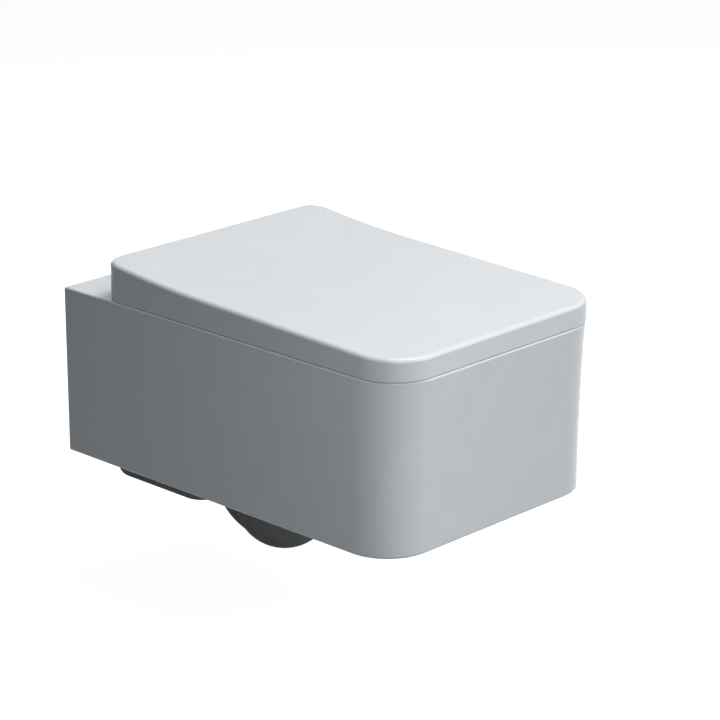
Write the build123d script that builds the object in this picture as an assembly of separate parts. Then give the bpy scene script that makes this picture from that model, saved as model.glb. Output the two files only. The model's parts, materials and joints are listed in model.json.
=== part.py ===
from build123d import *
import os
from math import atan, cos, degrees, sin, sqrt

# Wall hung toilet: a straight sided ceramic pan with a hidden fixing, a seat ring and a
# wrap over cover on two quick release, soft closing hinges.
# Origin: midway between the two wall bolts, on the wall plane.
# +X to the right seen from the front, +Y into the wall, +Z up. Sizes in millimetres.

# Pan, outside
pan_width = 360.0
pan_length = 550.0
deck_z = 80.0
skirt_height = 210.0
corner_radius_top = 62.0
corner_radius_mid = 60.0
corner_radius_bottom = 58.0
lip_height = 48.0
lip_flare = 4.0
skirt_rake = 5.0
deck_edge_radius = 2.0
skirt_edge_radius = 3.0
skirt_wall = 14.0
rear_wall = 15.0
deck_thickness = 16.0
ceramic_wall = 12.0

# Wall fixing, inlet and outlet
bolt_spacing = 180.0
bolt_bore_radius = 6.5
bush_radius = 11.0
bush_flange_radius = 17.0
bush_flange = 3.0
inlet_z = 35.0
inlet_radius = 27.5
inlet_depth = 50.0
flush_pipe_radius = 22.0
pipe_clearance = 0.3
seal_setback = 2.0
seal_length = 30.0
seal_land = 20.0
seal_lip = 2.5
outlet_z = -100.0
spigot_radius = 51.0
spigot_bore_radius = 42.0
spigot_length = 45.0
spigot_setback = 3.0
spigot_clearance = 13.0

# Rear block under the skirt, round the outlet
block_half_width = 128.0
block_front_y = -181.0
block_back_y = -10.0
block_top_z = -60.0
block_bottom_z = -169.0
block_front_radius = 30.0
block_back_radius = 35.0
block_edge_radius = 8.0

# Bowl: each funnel section has its height, half width, gap to the pan's front, gap to the
# wall, front radius and back radius
opening_side = 50.0
opening_front = 42.0
opening_back = 178.0
opening_front_radius = 100.0
opening_back_radius = 60.0
rim_drop = 48.0
rim_ledge = 13.0
rim_edge_radius = 6.0
funnel_sections = [
    (-40.0, 92.0, 110.0, 186.0, 80.0, 52.0),
    (-120.0, 60.0, 215.0, 176.0, 56.0, 48.0),
    (-178.0, 44.0, 310.0, 160.0, 39.0, 39.0),
]

# Sump, trap and flush duct
sump_y = -193.0
sump_z = -191.5
sump_radius = 48.0
sump_wall = 14.0
trap_radius = 30.0
trap_dip_y = -131.0
trap_dip_z = -207.0
trap_weir_y = -108.0
trap_weir_z = -90.0
trap_bend_radius = 46.0
duct_half_width = 34.0
duct_height = 20.0
duct_z = 48.0
duct_start_radius = 19.0
duct_wall = 10.0

# Hinge axis and its fixing to the deck
hinge_y = -80.0
hinge_above_deck = 30.0
hinge_spacing = 155.0
post_y = -118.0
deck_hole_radius = 7.5
knuckle_radius = 10.0
barrel_radius = 10.0
body_width = 31.0
side_gap = 0.7
knuckle_width = 18.0
knuckle_floor = 4.0
gasket_thickness = 1.5
base_radius = 20.0
base_thickness = 3.0
base_chamfer = 1.0
neck_radius = 6.0
neck_height = 10.0
head_radius = 8.0
head_height = 5.5
bolt_radius = 3.0
bolt_head_radius = 4.8
bolt_head_height = 3.6
bolt_head_recess = 1.0
bolt_length = 41.0
hex_radius = 2.5
hex_depth = 2.0
bung_length = 27.0
nut_height = 5.0
nut_width = 9.0

# Hinge body, latch and dampers
pedestal_front = 12.0
pedestal_back = 12.4
pedestal_top = 24.0
pedestal_rise = 4.0
pedestal_round = 4.0
arm_underside = 19.8
barrel_shoulder = 6.0
shoulder_drop = 2.0
latch_travel = 2.0
latch_thickness = 2.0
latch_width = 18.4
latch_clearance = 0.3
latch_rim = 2.0
latch_slot = 5.0
cap_height = 8.0
cap_reach = 3.0
cap_round = 1.5
spring_radius = 2.0
spring_wire = 0.5
spring_turns = 4
damper_radius = 7.0
damper_length = 21.0
damper_floor = 4.0
damper_shaft_radius = 3.5
shaft_flat = 2.5
shaft_end_gap = 1.0
pin_radius = 4.0
pin_depth = 8.5
pin_end_gap = 0.5
running_clearance = 0.05
slip_clearance = 0.1
press_clearance = 0.02

# Seat ring
seat_inset = 9.0
seat_back_y = -140.0
seat_gap = 5.0
seat_thickness = 15.0
seat_front_radius = 51.0
seat_back_radius = 18.0
seat_opening_half_width = 112.0
seat_opening_front = 62.0
seat_opening_back = 197.0
seat_opening_front_radius = 95.0
seat_opening_back_radius = 62.0
seat_edge_radius = 5.0
seat_inner_radius = 7.0
arm_lift = 3.0
arm_root = 20.0
arm_heel = 22.0
seat_buffer_side = 28.0
seat_buffer_y = -240.0
seat_buffer_front = 34.0
seat_buffer_front_x = 95.0
buffer_radius = 7.0
buffer_chamfer = 1.0
buffer_stem_radius = 3.0
buffer_stem = 4.0
rest_gap = 0.3

# Cover
cover_inset = 1.2
cover_back_y = -68.7
cover_front_radius = 56.0
cover_back_radius = 25.0
cover_gap = 1.0
cover_front_height = 27.2
cover_slope = 0.028
sweep_start_y = -245.4
sweep_radius = 1741.0
cover_edge_radius = 5.0
cover_wall = 5.0
cover_top = 4.5
notch_margin = 4.5
notch_above_axis = 12.5
web_depth = 17.0
pad_radius = 6.0
pad_height = 2.5
pad_stem = 3.0
boss_radius = 8.5
boss_bore = 3.5
pad_x = 150.0
pad_y = -230.0
pad_front_x = 110.0
pad_front = 50.0

# Worked out from the values above
half_width = pan_width / 2
skirt_z = deck_z - skirt_height
deck_underside = deck_z - deck_thickness
low_front_y = -pan_length + lip_flare + skirt_rake
opening_half_width = half_width - opening_side
opening_front_y = -pan_length + opening_front
opening_back_y = -opening_back
rim_z = deck_z - rim_drop
socket_radius = spigot_radius + spigot_clearance
hinge_z = deck_z + hinge_above_deck
hinge_x = hinge_spacing / 2
body_inner = hinge_x - body_width / 2
body_outer = hinge_x + body_width / 2
post_bottom = deck_z + gasket_thickness
neck_bottom = post_bottom + base_thickness
head_bottom = neck_bottom + neck_height
head_top = head_bottom + head_height
bolt_seat = head_top - bolt_head_height - bolt_head_recess
bung_bottom = deck_z - bung_length
latch_top = head_bottom - latch_clearance
latch_bottom = latch_top - latch_thickness
latch_mid = (latch_bottom + latch_top) / 2
latch_y = latch_width / 2
latch_inner = hinge_x + latch_travel - head_radius - latch_clearance - latch_rim
slot_end = hinge_x - head_radius - latch_slot
seat_bottom = deck_z + seat_gap
seat_top = seat_bottom + seat_thickness
seat_front_y = -pan_length + seat_inset
seat_opening_front_y = -pan_length + seat_opening_front
cover_bottom = deck_z + cover_gap
cover_front_y = -pan_length + cover_inset
cover_tall = 2 * hinge_above_deck + cover_front_height
relief_radius = hinge_above_deck - cover_gap - rest_gap
notch_half_width = body_outer + notch_margin
boss_bottom = seat_top + pad_height
axis_line = Pos(0, hinge_y, hinge_z)


def plan(half, front, back, front_radius, back_radius=0.0, z=0.0):
    """Rounded rectangle in plan, from y front to y back, at height z."""
    outline = Pos(0, (front + back) / 2) * Rectangle(2 * half, back - front)
    outline = fillet(outline.vertices().sort_by(Axis.Y)[:2], front_radius)
    if back_radius:
        outline = fillet(outline.vertices().sort_by(Axis.Y)[-2:], back_radius)
    return Pos(0, 0, z) * outline


def rod(radius, x_one, x_two):
    """Round bar on the hinge axis between two x values."""
    bar = Rot(0, 90, 0) * Cylinder(radius, abs(x_two - x_one))
    return axis_line * Pos((x_one + x_two) / 2) * bar


def post(radius, bottom, top):
    """Upright cylinder on the right hand hinge post."""
    return Pos(hinge_x, post_y, (bottom + top) / 2) * Cylinder(radius, top - bottom)


def wall_bore(radius, x, z, depth, front=0.0):
    """Cylinder along Y that ends at y front and reaches back by its depth."""
    return Pos(x, front - depth / 2, z) * Rot(90, 0, 0) * Cylinder(radius, depth)


def block(x_range, y_range, z_range):
    """Box given by its low and high corners on each axis."""
    spans = [high - low for low, high in (x_range, y_range, z_range)]
    middles = [(high + low) / 2 for low, high in (x_range, y_range, z_range)]
    return Pos(*middles) * Box(*spans)


def side_profile(points, x_from, x_to):
    """Polygon of (y, z) points carried from one x value to the other."""
    face = make_face(Polyline(*points, close=True))
    return Pos(x_from) * extrude(Plane.YZ * face, x_to - x_from)


def flipped(piece):
    """Mirror image across the centre plane."""
    return mirror(piece, about=Plane.YZ)


def both_sides(piece):
    """The piece and its mirror image across the centre plane."""
    return piece + flipped(piece)


def edges_within(body, z, half, front, back):
    """Edges at height z whose middles lie in a rectangle in plan."""
    found = []
    for edge in body.edges():
        middle = edge.center()
        if abs(middle.Z - z) < 0.01 and abs(middle.X) < half + 1 and front - 1 < middle.Y < back + 1:
            found.append(edge)
    return found


def deck_opening(grow, z):
    """The bowl's mouth in plan, grown by a margin."""
    return plan(
        opening_half_width + grow,
        opening_front_y - grow,
        opening_back_y + grow,
        opening_front_radius + grow,
        opening_back_radius + grow,
        z,
    )


def bowl(grow, top):
    """Bowl from the ledge under the rim down to the sump, grown by a wall."""
    mouth = deck_opening(grow, top) if grow else deck_opening(-rim_ledge, rim_z)
    sections = [mouth]
    for z, half, front_gap, back_gap, front_radius, back_radius in funnel_sections:
        front = -pan_length + front_gap - grow
        section = plan(half + grow, front, -back_gap + grow, front_radius + grow, back_radius + grow, z)
        sections.append(section)
    return loft(sections)


def trap(grow, sump_grow):
    """Sump, rising passage and weir, grown by their walls."""
    path = FilletPolyline(
        (0, sump_y, trap_dip_z),
        (0, trap_dip_y, trap_dip_z),
        (0, trap_weir_y, trap_weir_z),
        (0, -spigot_length, trap_weir_z),
        radius=trap_bend_radius,
    )
    section = Plane(path @ 0, z_dir=path % 0) * Circle(trap_radius + grow)
    passage = sweep(section, path)
    return passage + Pos(0, sump_y, sump_z) * Sphere(sump_radius + sump_grow)


def flush_duct(grow, length):
    """Passage from the inlet socket to the wide nozzle under the rim."""
    start = Plane((0, -inlet_depth + 1, inlet_z), x_dir=(1, 0, 0), z_dir=(0, -1, 0))
    end = Plane((0, opening_back_y - length, duct_z), x_dir=(1, 0, 0), z_dir=(0, -1, 0))
    round_size = duct_start_radius + grow
    inlet_side = start * RectangleRounded(2 * round_size, 2 * round_size, round_size - 1)
    nozzle_height = duct_height + 2 * grow
    nozzle = end * RectangleRounded(2 * (duct_half_width + grow), nozzle_height, nozzle_height / 2 - 1)
    return loft([inlet_side, nozzle])


def skirt():
    """Outer shape of the pan: flat back, rounded front corners, lip flared at the top."""
    body = loft(
        [
            plan(half_width, low_front_y, 0, corner_radius_bottom, z=skirt_z),
            plan(half_width, -pan_length + lip_flare, 0, corner_radius_mid, z=deck_z - lip_height),
            plan(half_width, -pan_length, 0, corner_radius_top, z=deck_z),
        ]
    )
    top_edges = body.faces().sort_by(Axis.Z)[-1].edges().sort_by(Axis.Y)[:-1]
    body = fillet(top_edges, deck_edge_radius)
    low_edges = body.faces().sort_by(Axis.Z)[0].edges().sort_by(Axis.Y)[:-1]
    return fillet(low_edges, skirt_edge_radius)


def skirt_hollow():
    """Space inside the skirt walls, in front of the rear wall and under the deck."""
    inner = plan(
        half_width - skirt_wall,
        low_front_y + skirt_wall,
        -rear_wall,
        corner_radius_bottom - skirt_wall,
        z=skirt_z - 1,
    )
    return extrude(inner, deck_underside - skirt_z + 1)


def rear_block():
    """Walled block round the outlet, open below, that hangs under the skirt."""
    outline = plan(
        block_half_width, block_front_y, block_back_y, block_front_radius, block_back_radius, block_bottom_z
    )
    outside = extrude(outline, block_top_z - block_bottom_z)
    outside = fillet(outside.faces().sort_by(Axis.Z)[0].edges(), block_edge_radius)
    inside = plan(
        block_half_width - ceramic_wall,
        block_front_y + ceramic_wall,
        block_back_y - ceramic_wall,
        block_front_radius - ceramic_wall,
        block_back_radius - ceramic_wall,
        block_bottom_z - 1,
    )
    return outside - extrude(inside, block_top_z - block_bottom_z + 2)


def pan_voids():
    """Well, bowl, trap, flush way, sockets and fixing holes of the pan."""
    voids = extrude(deck_opening(0, rim_z), rim_drop + 1)
    voids = voids + bowl(0, rim_z) + trap(0, 0) + flush_duct(0, ceramic_wall / 2)
    voids = voids + wall_bore(inlet_radius, 0, inlet_z, inlet_depth)
    socket = wall_bore(socket_radius, 0, outlet_z, spigot_length)
    socket = socket - wall_bore(spigot_radius, 0, outlet_z, spigot_length, -spigot_setback)
    voids = voids + socket + wall_bore(spigot_bore_radius, 0, outlet_z, spigot_length + 1)
    bolt_hole = wall_bore(bush_radius + slip_clearance, bolt_spacing / 2, 0, rear_wall + 1)
    deck_hole = post(deck_hole_radius, deck_underside - deck_thickness, deck_z + 1)
    return voids, both_sides(bolt_hole) + both_sides(deck_hole)


def pan_body():
    """The whole fired body: skirt, bowl, trap, inlet, outlet and rear block in one."""
    rim_wall = extrude(deck_opening(ceramic_wall, rim_z - ceramic_wall), rim_drop + ceramic_wall - 3)
    body = skirt() - skirt_hollow()
    body = body + rim_wall + bowl(ceramic_wall, rim_z - ceramic_wall + 1)
    body = body + trap(ceramic_wall, sump_wall) + flush_duct(duct_wall, ceramic_wall / 4)
    body = body + wall_bore(socket_radius + ceramic_wall, 0, outlet_z, spigot_length + ceramic_wall)
    body = body + wall_bore(inlet_radius + ceramic_wall, 0, inlet_z, inlet_depth + ceramic_wall)
    body = body + rear_block()
    waterways, holes = pan_voids()
    body = body - waterways - holes
    mouth = edges_within(body, deck_z, opening_half_width, opening_front_y, opening_back_y)
    return fillet(mouth, rim_edge_radius)


def pan_parts():
    """The fired body parted along simple planes into solids that meet face to face."""
    body = pan_body()
    wide = (-pan_width, pan_width)
    all_y = (-pan_length, 1)
    low_z = 2 * skirt_z
    spigot_zone = wall_bore(spigot_radius + spigot_clearance / 2, 0, outlet_z, rear_wall)
    inner_region = skirt_hollow() + block(wide, all_y, (low_z, skirt_z)) + spigot_zone
    shell = body - inner_region
    back_split_z = outlet_z + socket_radius + ceramic_wall / 2
    back_upper = block(wide, (-rear_wall, 1), (back_split_z, deck_z + 1))
    back_lower = block(wide, (-rear_wall, 1), (low_z, back_split_z))
    deck_region = block(wide, (-pan_length - 1, -rear_wall), (deck_underside, deck_z + 1))

    inner = body & inner_region
    bowl_back_y = opening_back_y + ceramic_wall + 2
    bowl_low_z = funnel_sections[1][0]
    inlet_low_z = inlet_z - inlet_radius - ceramic_wall - 4
    bowl_region = block(wide, (-pan_length, bowl_back_y), (bowl_low_z, deck_z))
    inlet_region = block(wide, (bowl_back_y, 1), (inlet_low_z, deck_z))
    cheek_x = socket_radius + ceramic_wall + 2
    right_region = block((cheek_x, pan_width), all_y, (low_z, block_top_z + 1))
    sump_back_y = sump_y + trap_radius + ceramic_wall
    sump_region = block(wide, (-pan_length, sump_back_y), (low_z, bowl_low_z))
    outlet_region = block(wide, (-spigot_length - ceramic_wall, 1), (low_z, inlet_low_z))
    rest = inner - bowl_region - inlet_region
    cheek = rest & right_region
    middle = rest - right_region - flipped(right_region)
    return {
        "pan_back_upper": shell & back_upper,
        "pan_back_lower": shell & back_lower,
        "pan_deck": shell & deck_region,
        "pan_skirt": shell - back_upper - back_lower - deck_region,
        "pan_bowl": inner & bowl_region,
        "pan_inlet": inner & inlet_region,
        "pan_sump": middle & sump_region,
        "pan_trap": middle - sump_region - outlet_region,
        "pan_outlet": middle & outlet_region,
        "pan_cheek_right": cheek,
        "pan_cheek_left": flipped(cheek),
    }


def wall_bush():
    """Plastic sleeve that lines a wall bolt hole, flanged on the inside of the rear wall."""
    x = bolt_spacing / 2
    sleeve = wall_bore(bush_radius, x, 0, rear_wall)
    flange = wall_bore(bush_flange_radius, x, 0, bush_flange, -rear_wall)
    bush = sleeve + flange
    return bush - wall_bore(bolt_bore_radius, x, 0, rear_wall + 2 * bush_flange, bush_flange)


def inlet_seal():
    """Lipped rubber ring in the inlet socket, turned about the flush pipe's axis."""
    outer = inlet_radius - slip_clearance
    bore = flush_pipe_radius + pipe_clearance
    half_section = Polyline(
        (bore, seal_setback),
        (outer, seal_setback),
        (outer, seal_setback + seal_length),
        (bore + seal_lip, seal_setback + seal_length),
        (bore + seal_lip, seal_setback + seal_land + seal_lip),
        (bore, seal_setback + seal_land),
        close=True,
    )
    ring = revolve(Plane.XZ * make_face(half_section), Axis.Z)
    return Pos(0, 0, inlet_z) * Rot(90, 0, 0) * ring


def hinge_gasket():
    """Soft washer between the steel disc and the glaze."""
    return post(base_radius, deck_z, post_bottom) - post(deck_hole_radius, deck_z - 1, post_bottom + 1)


def hinge_base():
    """Steel disc with the grooved post that the hinge body clips on."""
    disc = post(base_radius, post_bottom, neck_bottom)
    disc = chamfer(disc.edges().sort_by(Axis.Z)[-1], base_chamfer)
    body = disc + post(neck_radius, neck_bottom, head_bottom) + post(head_radius, head_bottom, head_top)
    body = chamfer(body.edges().sort_by(Axis.Z)[-1], base_chamfer)
    body = body - post(bolt_head_radius + slip_clearance, bolt_seat, head_top + 1)
    return body - post(bolt_radius + slip_clearance, post_bottom - 1, head_top)


def hinge_bolt():
    """Socket head bolt down through the post into the bung's nut."""
    head_end = bolt_seat + bolt_head_height
    head = post(bolt_head_radius, bolt_seat, head_end)
    socket = Pos(hinge_x, post_y, head_end) * extrude(RegularPolygon(hex_radius, 6), -hex_depth)
    return head + post(bolt_radius, bolt_seat - bolt_length, bolt_seat) - socket


def nut_prism(grow, height):
    """Hexagon of the nut, grown by a clearance."""
    hexagon = RegularPolygon(nut_width / 2 + grow, 6, major_radius=False)
    return Pos(hinge_x, post_y, bung_bottom) * extrude(hexagon, height)


def expanding_bung():
    """Rubber plug that swells in the deck hole as the bolt pulls its nut up."""
    body = post(deck_hole_radius - slip_clearance, bung_bottom, deck_z)
    body = body - post(bolt_radius + slip_clearance, bung_bottom - 1, deck_z + 1)
    return body - nut_prism(slip_clearance, nut_height)


def bung_nut():
    """Hexagon nut at the foot of the bung."""
    return nut_prism(0, nut_height) - post(bolt_radius + slip_clearance, bung_bottom - 1, deck_z)


def hinge_body(damper_outside):
    """Cranked body: pedestal over the post, arm back to the barrel on the hinge axis."""
    front = post_y - pedestal_front
    back = post_y + pedestal_back
    crank = side_profile(
        [
            (front, neck_bottom),
            (back, neck_bottom),
            (back, deck_z + arm_underside),
            (hinge_y, hinge_z - barrel_radius),
            (hinge_y, hinge_z + barrel_radius),
            (hinge_y - barrel_shoulder, hinge_z + barrel_radius - shoulder_drop),
            (back, deck_z + pedestal_top + pedestal_rise),
            (post_y, deck_z + pedestal_top),
            (front, deck_z + pedestal_top),
        ],
        body_inner,
        body_outer,
    )
    nose = crank.edges().filter_by(Axis.X).sort_by(Axis.Y)[:2].sort_by(Axis.Z)[-1]
    body = fillet(nose, pedestal_round) + rod(barrel_radius, body_inner, body_outer)
    body = body - post(head_radius + 2 * latch_clearance, neck_bottom - 1, head_top + 1)
    y_range = (post_y - latch_y, post_y + latch_y)
    slot_z = (latch_bottom - slip_clearance, latch_top + slip_clearance)
    body = body - block((slot_end, body_outer + 1), y_range, slot_z)
    recess_start = body_outer - cap_reach - latch_clearance
    recess_half = cap_height / 2 + slip_clearance
    recess_z = (latch_mid - recess_half, latch_mid + recess_half)
    body = body - block((recess_start, body_outer + 1), y_range, recess_z)
    pocket = Cylinder(spring_radius + spring_wire + latch_clearance, latch_inner - slot_end)
    body = body - Pos((slot_end + latch_inner) / 2, post_y, latch_mid) * Rot(0, 90, 0) * pocket
    if damper_outside:
        damper_bore = rod(damper_radius + running_clearance, body_outer - damper_length, body_outer + 1)
        pin_bore = rod(pin_radius + running_clearance, body_inner - 1, body_inner + pin_depth)
    else:
        damper_bore = rod(damper_radius + running_clearance, body_inner - 1, body_inner + damper_length)
        pin_bore = rod(pin_radius + running_clearance, body_outer - pin_depth, body_outer + 1)
    return body - damper_bore - pin_bore


def release_button():
    """Latch plate with a round window, and the cap that is pressed from the side."""
    y_range = (post_y - latch_y + slip_clearance, post_y + latch_y - slip_clearance)
    plate = block((latch_inner, body_outer), y_range, (latch_bottom, latch_top))
    window = post(head_radius + latch_clearance, latch_bottom - 1, latch_top + 1)
    cap_z = (latch_mid - cap_height / 2, latch_mid + cap_height / 2)
    cap = block((body_outer - cap_reach + latch_travel, body_outer + cap_reach), y_range, cap_z)
    cap = fillet(cap.faces().sort_by(Axis.X)[-1].edges(), cap_round)
    return plate - Pos(latch_travel) * window + cap


def button_spring():
    """Square wire compression spring between the slot's closed end and the latch plate."""
    length = latch_inner - slot_end - spring_wire
    line = Helix(pitch=length / spring_turns, height=length, radius=spring_radius)
    section = Plane(line @ 0, z_dir=line % 0) * Rectangle(spring_wire, spring_wire)
    coil = sweep(section, line, is_frenet=True)
    return Pos(slot_end + spring_wire / 2, post_y, latch_mid) * Rot(0, 90, 0) * coil


def barrel_side(at_outside):
    """The body's face at the damper or pin, and the direction out of it."""
    return (body_outer, 1) if at_outside else (body_inner, -1)


def damper(at_outside):
    """Closed damper cartridge, held in the barrel, bored for its turning shaft."""
    face, outward = barrel_side(at_outside)
    case = rod(damper_radius, face, face - outward * (damper_length - slip_clearance))
    bore_end = face - outward * (damper_length - damper_floor)
    return case - rod(damper_shaft_radius + running_clearance, face, bore_end)


def damper_shaft(at_outside, grow=0.0):
    """Damper shaft: round in the cartridge, with two flats in the knuckle."""
    face, outward = barrel_side(at_outside)
    inner_end = face - outward * (damper_length - damper_floor - shaft_end_gap)
    start = face + outward * side_gap
    outer_end = start + outward * (knuckle_width - knuckle_floor)
    radius = damper_shaft_radius + grow
    slab = block(
        (min(start, outer_end) - 1, max(start, outer_end) + 1),
        (hinge_y - radius - 1, hinge_y + radius + 1),
        (hinge_z - shaft_flat - grow, hinge_z + shaft_flat + grow),
    )
    flat_part = rod(radius, start, outer_end) & slab
    return flat_part if grow else rod(damper_shaft_radius, inner_end, start) + flat_part


def plain_pin(at_outside, grow=0.0):
    """Plain hinge pin from the barrel into a knuckle."""
    face, outward = barrel_side(at_outside)
    inner_end = face - outward * (pin_depth - pin_end_gap)
    return rod(pin_radius + grow, inner_end, face + outward * (side_gap + knuckle_width - knuckle_floor))


def seat_buffer_places():
    side = half_width - seat_buffer_side
    front = -pan_length + seat_buffer_front
    places = [(side, seat_buffer_y), (seat_buffer_front_x, front)]
    return places + [(-x, y) for x, y in places]


def seat_arm():
    """Cranked arm and knuckle on the inner side of the right hinge body."""
    outer_x = body_inner - side_gap
    arm = side_profile(
        [
            (seat_back_y - arm_root, seat_bottom + arm_lift),
            (seat_back_y + 2, seat_bottom + arm_lift),
            (hinge_y - arm_heel, hinge_z - knuckle_radius - 1),
            (hinge_y, hinge_z - knuckle_radius),
            (hinge_y, hinge_z + knuckle_radius),
            (hinge_y - barrel_shoulder, hinge_z + knuckle_radius - shoulder_drop),
            (seat_back_y - arm_root, seat_top),
        ],
        outer_x - knuckle_width,
        outer_x,
    )
    return arm + rod(knuckle_radius, outer_x - knuckle_width, outer_x)


def seat_ring():
    """Seat ring with rounded edges and two cranked knuckle arms behind."""
    side = half_width - seat_inset
    outline = plan(side, seat_front_y, seat_back_y, seat_front_radius, seat_back_radius, seat_bottom)
    hole = plan(
        seat_opening_half_width,
        seat_opening_front_y,
        -seat_opening_back,
        seat_opening_front_radius,
        seat_opening_back_radius,
        seat_bottom,
    )
    ring = extrude(outline, seat_thickness)
    ring = fillet(ring.faces().sort_by(Axis.Z)[-1].edges(), seat_edge_radius)
    ring = ring - extrude(hole, seat_thickness)
    inner = edges_within(ring, seat_top, seat_opening_half_width, seat_opening_front_y, -seat_opening_back)
    ring = fillet(inner, seat_inner_radius) + both_sides(seat_arm())
    ring = ring - damper_shaft(False, slip_clearance / 2) - flipped(plain_pin(False, press_clearance))
    for x, y in seat_buffer_places():
        stem_hole = Cylinder(buffer_stem_radius + slip_clearance, 2 * buffer_stem + 1)
        ring = ring - Pos(x, y, seat_bottom) * stem_hole
    return ring


def seat_buffers():
    """Four rubber feet plugged into the underside of the ring."""
    feet = []
    for x, y in seat_buffer_places():
        height = seat_gap - rest_gap
        foot = Pos(x, y, seat_bottom - height / 2) * Cylinder(buffer_radius, height)
        foot = chamfer(foot.edges().sort_by(Axis.Z)[0], buffer_chamfer)
        stem = Pos(x, y, seat_bottom + buffer_stem / 2) * Cylinder(buffer_stem_radius, buffer_stem)
        feet.append(foot + stem)
    return Compound(children=feet)


def cover_profile(drop):
    """Side profile of the cover's top: a straight fall to the front, swept up behind."""
    start_z = deck_z + cover_front_height + (sweep_start_y - cover_front_y) * cover_slope - drop
    front_y = cover_front_y - 20
    front = (front_y, start_z - (sweep_start_y - front_y) * cover_slope)
    start = (sweep_start_y, start_z)
    back = cover_back_y + 20
    rise = atan(cover_slope)
    centre_y = sweep_start_y - sweep_radius * sin(rise)
    centre_z = start_z + sweep_radius * cos(rise)
    end_z = centre_z - sqrt(sweep_radius**2 - (back - centre_y) ** 2)
    turn = degrees(atan((back - centre_y) / (centre_z - end_z)) - rise)
    sweep_arc = JernArc(start, (1, cover_slope), sweep_radius, turn)
    end = sweep_arc @ 1
    low = cover_bottom - 5
    rest = Polyline((end.X, end.Y), (end.X, low), (front_y, low), front)
    face = make_face([Line(front, start), sweep_arc, rest])
    return extrude(Plane.YZ * face, pan_width, both=True)


def cover_blank(inset, bottom, drop):
    """Solid cover, inset all round, from a bottom height to the dropped top profile."""
    outline = plan(
        half_width - cover_inset - inset,
        cover_front_y + inset,
        cover_back_y - inset,
        cover_front_radius - inset,
        cover_back_radius - inset,
        bottom,
    )
    return extrude(outline, cover_tall) & cover_profile(drop)


def cover_top_edges(blank):
    """Edges round the cover's top, without the line where the sweep starts."""
    found = []
    for edge in blank.edges():
        middle = edge.center()
        level = abs(edge.tangent_at(0.5).Z) < 0.6 and middle.Z > cover_bottom + cover_front_height / 2
        on_outline = abs(middle.X) > 1 or not cover_front_y + 1 < middle.Y < cover_back_y - 1
        if level and on_outline:
            found.append(edge)
    return found


def pad_places():
    places = [(pad_x, pad_y), (pad_front_x, -pan_length + pad_front)]
    return places + [(-x, y) for x, y in places]


def cover():
    """Wrap over cover: one shell, swept up at the back over the hinges."""
    blank = cover_blank(0, cover_bottom, 0)
    outside = fillet(cover_top_edges(blank), cover_edge_radius)
    body = outside - cover_blank(cover_wall, cover_bottom - 1, cover_top)
    behind = block((-pan_width, pan_width), (hinge_y, 1), (skirt_z, hinge_z))
    behind = behind - rod(relief_radius, -pan_width, pan_width)
    notch = block(
        (-notch_half_width, notch_half_width),
        (cover_back_y - cover_wall - 1, 1),
        (skirt_z, hinge_z + notch_above_axis),
    )
    inner_x = body_outer + side_gap
    web = block(
        (inner_x, inner_x + knuckle_width),
        (hinge_y - web_depth / 2, hinge_y + web_depth / 2),
        (hinge_z, hinge_z + cover_tall),
    )
    knuckle = rod(knuckle_radius, inner_x, inner_x + knuckle_width) + (web & outside)
    body = body - behind - notch + both_sides(knuckle)
    for x, y in pad_places():
        boss = Pos(x, y, boss_bottom + cover_tall / 2) * Cylinder(boss_radius, cover_tall)
        body = body + (boss & outside)
        body = body - Pos(x, y, boss_bottom) * Cylinder(buffer_stem_radius + slip_clearance, 2 * boss_bore)
    return body - flipped(damper_shaft(True, slip_clearance / 2)) - plain_pin(True, press_clearance)


def cover_buffers():
    """Four rubber pads under the cover that land on the ring."""
    pads = []
    for x, y in pad_places():
        low = seat_top + rest_gap
        pad = Pos(x, y, (boss_bottom + low) / 2) * Cylinder(pad_radius, boss_bottom - low)
        pads.append(pad + Pos(x, y, boss_bottom + pad_stem / 2) * Cylinder(buffer_stem_radius, pad_stem))
    return Compound(children=pads)


# Every node, by name. The right hand copy is modelled and the left one is its mirror image.
nodes = pan_parts()
nodes["inlet_seal"] = inlet_seal()
nodes["seat_ring"] = seat_ring()
nodes["seat_buffers"] = seat_buffers()
nodes["seat_damper_shaft"] = damper_shaft(False)
nodes["seat_hinge_pin"] = flipped(plain_pin(False))
nodes["seat_damper"] = damper(False)
nodes["cover"] = cover()
nodes["cover_buffers"] = cover_buffers()
nodes["cover_damper_shaft"] = flipped(damper_shaft(True))
nodes["cover_hinge_pin"] = plain_pin(True)
nodes["cover_damper"] = flipped(damper(True))
nodes["hinge_body_right"] = hinge_body(False)
nodes["hinge_body_left"] = flipped(hinge_body(True))
paired = {
    "wall_bush": wall_bush(),
    "hinge_gasket": hinge_gasket(),
    "hinge_base": hinge_base(),
    "hinge_bolt": hinge_bolt(),
    "expanding_bung": expanding_bung(),
    "bung_nut": bung_nut(),
    "release_button": release_button(),
    "button_spring": button_spring(),
}
for name, piece in paired.items():
    nodes[name + "_right"] = piece
    nodes[name + "_left"] = flipped(piece)

os.makedirs("parts", exist_ok=True)
for name, piece in nodes.items():
    export_step(piece, f"parts/{name}.step")
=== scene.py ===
import json
import math

import bpy
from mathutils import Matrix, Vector

# Wall hung toilet: glazed ceramic pan, satin seat and cover, quick release hinges.
# Metres, in the frame's own axes: X right, Y into the wall, Z up, origin between the wall bolts.

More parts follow.
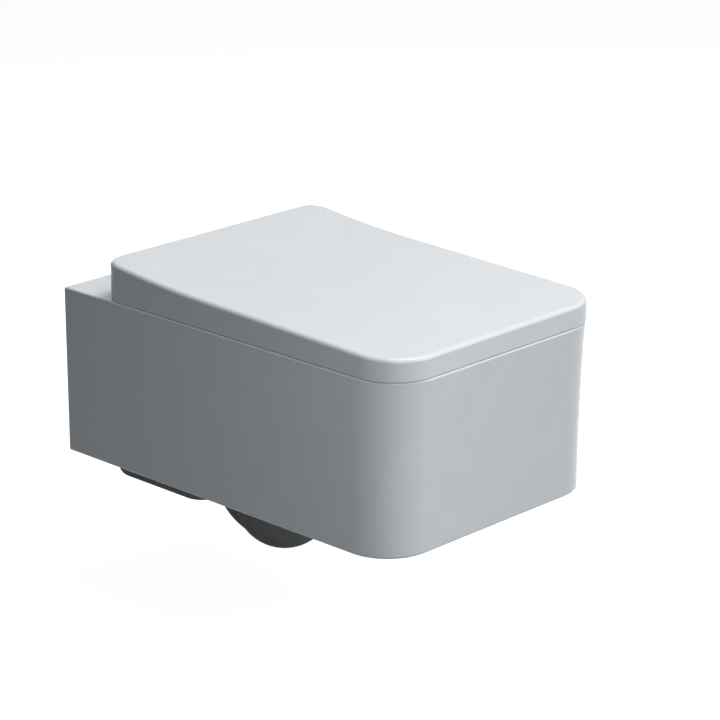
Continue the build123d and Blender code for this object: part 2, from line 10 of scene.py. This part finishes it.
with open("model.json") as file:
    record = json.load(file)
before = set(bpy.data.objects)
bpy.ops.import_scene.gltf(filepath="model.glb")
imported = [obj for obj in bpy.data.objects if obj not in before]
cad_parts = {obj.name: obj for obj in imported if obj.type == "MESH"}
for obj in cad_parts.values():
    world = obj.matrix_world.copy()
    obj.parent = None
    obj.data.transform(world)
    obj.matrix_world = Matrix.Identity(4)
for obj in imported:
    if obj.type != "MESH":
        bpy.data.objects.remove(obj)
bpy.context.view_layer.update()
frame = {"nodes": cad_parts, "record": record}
print("frame loaded:", len(frame["nodes"]), "nodes")

cameraSetup = {
    "position": (-2.3105, -2.5481, 1.0990),  # front left of the pan and above it
    "yaw": 46.07,  # degrees, clockwise from looking into the wall
    "pitch": -18.61,
    "lens": 142.98,  # mm on the sensor below
    "sensor": 36.0,
    "farthest": 60.0,
}


def addCamera(setup):
    data = bpy.data.cameras.new("camera")
    data.lens = setup["lens"]
    data.sensor_width = setup["sensor"]
    data.clip_end = setup["farthest"]
    camera = bpy.data.objects.new("camera", data)
    bpy.context.scene.collection.objects.link(camera)
    camera.location = setup["position"]
    camera.rotation_euler = (math.radians(90 + setup["pitch"]), 0, math.radians(-setup["yaw"]))
    bpy.context.scene.camera = camera


coolTint = (0.90, 0.96, 1.0)
softboxAim = (0.0, -0.28, 0.05)

softboxes = {
    "top": {
        "size": (1.6, 1.2),
        "place": (0.25, -0.90, 2.20),
        "power": 38.0,
        "tint": (1.0, 1.0, 1.0),
    },
    "front": {
        "size": (1.2, 1.2),
        "place": (1.0, -2.35, 0.90),  # to the right, so that the left side stays in shade
        "power": 19.5,
        "tint": coolTint,
    },
    "side": {
        "size": (0.4, 0.6),
        "place": (-0.62, -1.12, 0.25),  # near the front left corner, weak
        "power": 2.0,
        "tint": coolTint,
    },
    "back": {
        "size": (1.0, 1.0),
        "place": (0.95, 1.70, 0.10),  # fills the wall side, out of sight of the front faces
        "power": 12.0,
        "tint": coolTint,
    },
}


def addSoftbox(name, box):
    data = bpy.data.lights.new(name, "AREA")
    data.shape = "RECTANGLE"
    data.size, data.size_y = box["size"]
    data.energy = box["power"]
    data.color = box["tint"]
    lamp = bpy.data.objects.new(name, data)
    bpy.context.scene.collection.objects.link(lamp)
    lamp.location = box["place"]
    lamp.rotation_euler = (Vector(softboxAim) - Vector(box["place"])).to_track_quat("-Z", "Y").to_euler()


def backdropMask(tree):
    rays = tree.nodes.new("ShaderNodeLightPath")  # camera, glossy and transmission rays get the white
    first = tree.nodes.new("ShaderNodeMath")
    first.operation = "MAXIMUM"
    tree.links.new(rays.outputs["Is Camera Ray"], first.inputs[0])
    tree.links.new(rays.outputs["Is Glossy Ray"], first.inputs[1])
    second = tree.nodes.new("ShaderNodeMath")
    second.operation = "MAXIMUM"
    tree.links.new(first.outputs[0], second.inputs[0])
    tree.links.new(rays.outputs["Is Transmission Ray"], second.inputs[1])
    return second.outputs[0]


skySetup = {
    "colour": (0.74, 0.89, 1.0),
    "level": 0.10,
    "whiteLevel": 1.0,
}


def addWorld(setup):
    world = bpy.data.worlds.new("studio")
    bpy.context.scene.world = world
    world.use_nodes = True
    tree = world.node_tree
    tree.nodes.clear()
    out = tree.nodes.new("ShaderNodeOutputWorld")
    mix = tree.nodes.new("ShaderNodeMixShader")
    sky = tree.nodes.new("ShaderNodeBackground")
    sky.inputs["Color"].default_value = (*setup["colour"], 1)
    sky.inputs["Strength"].default_value = setup["level"]
    white = tree.nodes.new("ShaderNodeBackground")
    white.inputs["Strength"].default_value = setup["whiteLevel"]
    tree.links.new(backdropMask(tree), mix.inputs[0])
    tree.links.new(sky.outputs[0], mix.inputs[1])
    tree.links.new(white.outputs[0], mix.inputs[2])
    tree.links.new(mix.outputs[0], out.inputs["Surface"])


floorSetup = {
    "height": -0.32,  # finished floor under the wall bolts
    "halfSize": 9.0,
    "paint": (0.055, 0.057, 0.060),  # what the floor throws back on the object
    "shownPaint": 0.6,
    "shownGlow": 0.88,
}


def addFloor(setup):
    half = setup["halfSize"]
    z = setup["height"]
    mesh = bpy.data.meshes.new("floor")
    corners = [(-half, -half, z), (half, -half, z), (half, half, z), (-half, half, z)]
    mesh.from_pydata(corners, [], [(0, 1, 2, 3)])
    floor = bpy.data.objects.new("floor", mesh)
    bpy.context.scene.collection.objects.link(floor)
    material = bpy.data.materials.new("floorPaint")
    material.use_nodes = True
    tree = material.node_tree
    tree.nodes.clear()
    out = tree.nodes.new("ShaderNodeOutputMaterial")
    mix = tree.nodes.new("ShaderNodeMixShader")
    paint = tree.nodes.new("ShaderNodeBsdfDiffuse")
    paint.inputs["Color"].default_value = (*setup["paint"], 1)
    shown = tree.nodes.new("ShaderNodeBsdfDiffuse")
    shown.inputs["Color"].default_value = (*[setup["shownPaint"]] * 3, 1)
    glow = tree.nodes.new("ShaderNodeEmission")
    glow.inputs["Strength"].default_value = setup["shownGlow"]
    both = tree.nodes.new("ShaderNodeAddShader")
    tree.links.new(shown.outputs[0], both.inputs[0])
    tree.links.new(glow.outputs[0], both.inputs[1])
    tree.links.new(backdropMask(tree), mix.inputs[0])
    tree.links.new(paint.outputs[0], mix.inputs[1])
    tree.links.new(both.outputs[0], mix.inputs[2])
    tree.links.new(mix.outputs[0], out.inputs["Surface"])
    floor.data.materials.append(material)


def newMaterial(name):
    material = bpy.data.materials.new(name)
    material.use_nodes = True
    tree = material.node_tree
    return material, tree, tree.nodes["Principled BSDF"]


def objectNoise(tree, scale, detail, stretch=(1, 1, 1)):
    place = tree.nodes.new("ShaderNodeTexCoord")
    mapping = tree.nodes.new("ShaderNodeMapping")
    mapping.inputs["Scale"].default_value = stretch
    noise = tree.nodes.new("ShaderNodeTexNoise")
    noise.inputs["Scale"].default_value = scale
    noise.inputs["Detail"].default_value = detail
    tree.links.new(place.outputs["Object"], mapping.inputs["Vector"])
    tree.links.new(mapping.outputs[0], noise.inputs["Vector"])
    return noise.outputs["Fac"]


rampSpread = (0.3, 0.7)  # the part of the noise over which the low colour turns into the high one


def colourRamp(tree, factor, low, high):
    ramp = tree.nodes.new("ShaderNodeValToRGB")
    for element, position, colour in zip(ramp.color_ramp.elements, rampSpread, (low, high)):
        element.position = position
        element.color = (*colour, 1)
    tree.links.new(factor, ramp.inputs["Fac"])
    return ramp.outputs["Color"]


def numberRange(tree, factor, low, high):
    remap = tree.nodes.new("ShaderNodeMapRange")
    remap.inputs["To Min"].default_value = low
    remap.inputs["To Max"].default_value = high
    tree.links.new(factor, remap.inputs["Value"])
    return remap.outputs["Result"]


def addBump(tree, shader, height, strength, distance):
    bump = tree.nodes.new("ShaderNodeBump")
    bump.inputs["Strength"].default_value = strength
    bump.inputs["Distance"].default_value = distance
    tree.links.new(height, bump.inputs["Height"])
    tree.links.new(bump.outputs["Normal"], shader.inputs["Normal"])


glazeLook = {
    "low": (0.775, 0.790, 0.800),
    "high": (0.800, 0.812, 0.820),
    "roughness": (0.10, 0.16),
    "gloss": 0.40,
    "waveSize": 26.0,
    "waveDetail": 3.0,
    "waveBump": 0.10,
    "waveDepth": 0.0006,
}

# Matt unglazed ceramic for the hidden walls; its darker colour is painted shade for the underside of the
# pan.
biscuitAndShadeLook = {
    "low": (0.50, 0.49, 0.47),
    "high": (0.60, 0.59, 0.57),
    "roughness": (0.75, 0.9),
    "gloss": 0.15,
    "waveSize": 90.0,
    "waveDetail": 3.0,
    "waveBump": 0.25,
    "waveDepth": 0.0006,
}


def firedCeramic(name, look):
    material, tree, shader = newMaterial(name)
    shader.inputs["Specular IOR Level"].default_value = look["gloss"]
    waves = objectNoise(tree, look["waveSize"], look["waveDetail"])
    tree.links.new(colourRamp(tree, waves, look["low"], look["high"]), shader.inputs["Base Color"])
    tree.links.new(numberRange(tree, waves, *look["roughness"]), shader.inputs["Roughness"])
    addBump(tree, shader, waves, look["waveBump"], look["waveDepth"])
    return material


satinLook = {
    "low": (0.785, 0.790, 0.795),
    "high": (0.805, 0.810, 0.815),
    "roughness": (0.26, 0.32),
    "gloss": 0.40,
    "cloudSize": 14.0,
    "cloudDetail": 2.0,
    "grainSize": 900.0,
    "grainDetail": 1.0,
    "grainBump": 0.04,
    "grainDepth": 0.0001,
}


def satinPlastic(look):
    material, tree, shader = newMaterial("satinPlastic")
    shader.inputs["Specular IOR Level"].default_value = look["gloss"]
    cloud = objectNoise(tree, look["cloudSize"], look["cloudDetail"])
    tree.links.new(colourRamp(tree, cloud, look["low"], look["high"]), shader.inputs["Base Color"])
    tree.links.new(numberRange(tree, cloud, *look["roughness"]), shader.inputs["Roughness"])
    grain = objectNoise(tree, look["grainSize"], look["grainDetail"])
    addBump(tree, shader, grain, look["grainBump"], look["grainDepth"])
    return material


fittingLooks = {
    "black_rubber": {
        "name": "blackRubber",
        "low": (0.018, 0.018, 0.018),
        "high": (0.035, 0.035, 0.034),
        "roughness": (0.6, 0.8),
        "grainSize": 700.0,
    },
    "clear_rubber": {
        "name": "clearRubber",
        "low": (0.60, 0.61, 0.61),
        "high": (0.68, 0.69, 0.69),
        "roughness": (0.35, 0.5),
        "grainSize": 300.0,
    },
    "grey_plastic": {
        "name": "greyPlastic",
        "low": (0.50, 0.51, 0.53),
        "high": (0.56, 0.57, 0.59),
        "roughness": (0.45, 0.6),
        "grainSize": 400.0,
    },
    "dark_plastic": {
        "name": "darkPlastic",
        "low": (0.012, 0.012, 0.014),
        "high": (0.024, 0.024, 0.027),
        "roughness": (0.4, 0.55),
        "grainSize": 500.0,
    },
    "steel": {
        "name": "turnedSteel",
        "low": (0.46, 0.46, 0.47),
        "high": (0.60, 0.60, 0.61),
        "roughness": (0.22, 0.38),
        "grainSize": 260.0,
        "metallic": 1.0,
        "stretch": (1, 1, 9),  # turning marks run round the upright axis
    },
    "spring_steel": {
        "name": "springWire",
        "low": (0.36, 0.36, 0.37),
        "high": (0.48, 0.48, 0.49),
        "roughness": (0.25, 0.4),
        "grainSize": 800.0,
        "metallic": 1.0,
    },
    "brass": {
        "name": "turnedBrass",
        "low": (0.52, 0.36, 0.13),
        "high": (0.66, 0.48, 0.20),
        "roughness": (0.25, 0.42),
        "grainSize": 300.0,
        "metallic": 1.0,
    },
    "chrome_plastic": {
        "name": "chromedPlastic",
        "low": (0.72, 0.73, 0.74),
        "high": (0.80, 0.81, 0.82),
        "roughness": (0.06, 0.12),
        "grainSize": 40.0,
        "metallic": 1.0,
        "bump": 0.05,
    },
    "button_plastic": {
        "name": "buttonPlastic",
        "low": (0.30, 0.31, 0.33),
        "high": (0.36, 0.37, 0.39),
        "roughness": (0.35, 0.5),
        "grainSize": 600.0,
    },
}

fittingGrain = {
    "detail": 3.0,
    "depth": 0.0001,
}


def speckled(name, low, high, roughness, grainSize, metallic=0.0, stretch=(1, 1, 1), bump=0.15):
    material, tree, shader = newMaterial(name)
    shader.inputs["Metallic"].default_value = metallic
    grain = objectNoise(tree, grainSize, fittingGrain["detail"], stretch)
    tree.links.new(colourRamp(tree, grain, low, high), shader.inputs["Base Color"])
    tree.links.new(numberRange(tree, grain, *roughness), shader.inputs["Roughness"])
    addBump(tree, shader, grain, bump, fittingGrain["depth"])
    return material


hiddenWalls = ("pan_sump", "pan_trap", "pan_outlet", "pan_cheek_left", "pan_cheek_right")  # left unglazed and matt, and painted a darker colour that stands in for the shade under the pan


def paintNodes():
    finishes = {
        "ceramic": firedCeramic("glazedCeramic", glazeLook),
        "seat_plastic": satinPlastic(satinLook),
    }
    for slot, look in fittingLooks.items():
        finishes[slot] = speckled(**look)
    # darker ceramic whose colour paints in the shade under and behind the pan
    biscuitAndShade = firedCeramic("biscuitCeramicPaintedShade", biscuitAndShadeLook)
    for part in frame["record"]["subparts"]:
        node = frame["nodes"][part["node"]]
        unglazedAndShaded = part["node"] in hiddenWalls
        node.data.materials.clear()
        node.data.materials.append(biscuitAndShade if unglazedAndShaded else finishes[part["material_slot"]])


addCamera(cameraSetup)
for name, box in softboxes.items():
    addSoftbox(name + "Softbox", box)
addWorld(skySetup)
addFloor(floorSetup)
print("camera, lights and floor set")

paintNodes()
print("frame nodes painted")

bpy.context.scene.view_settings.view_transform = "Standard"
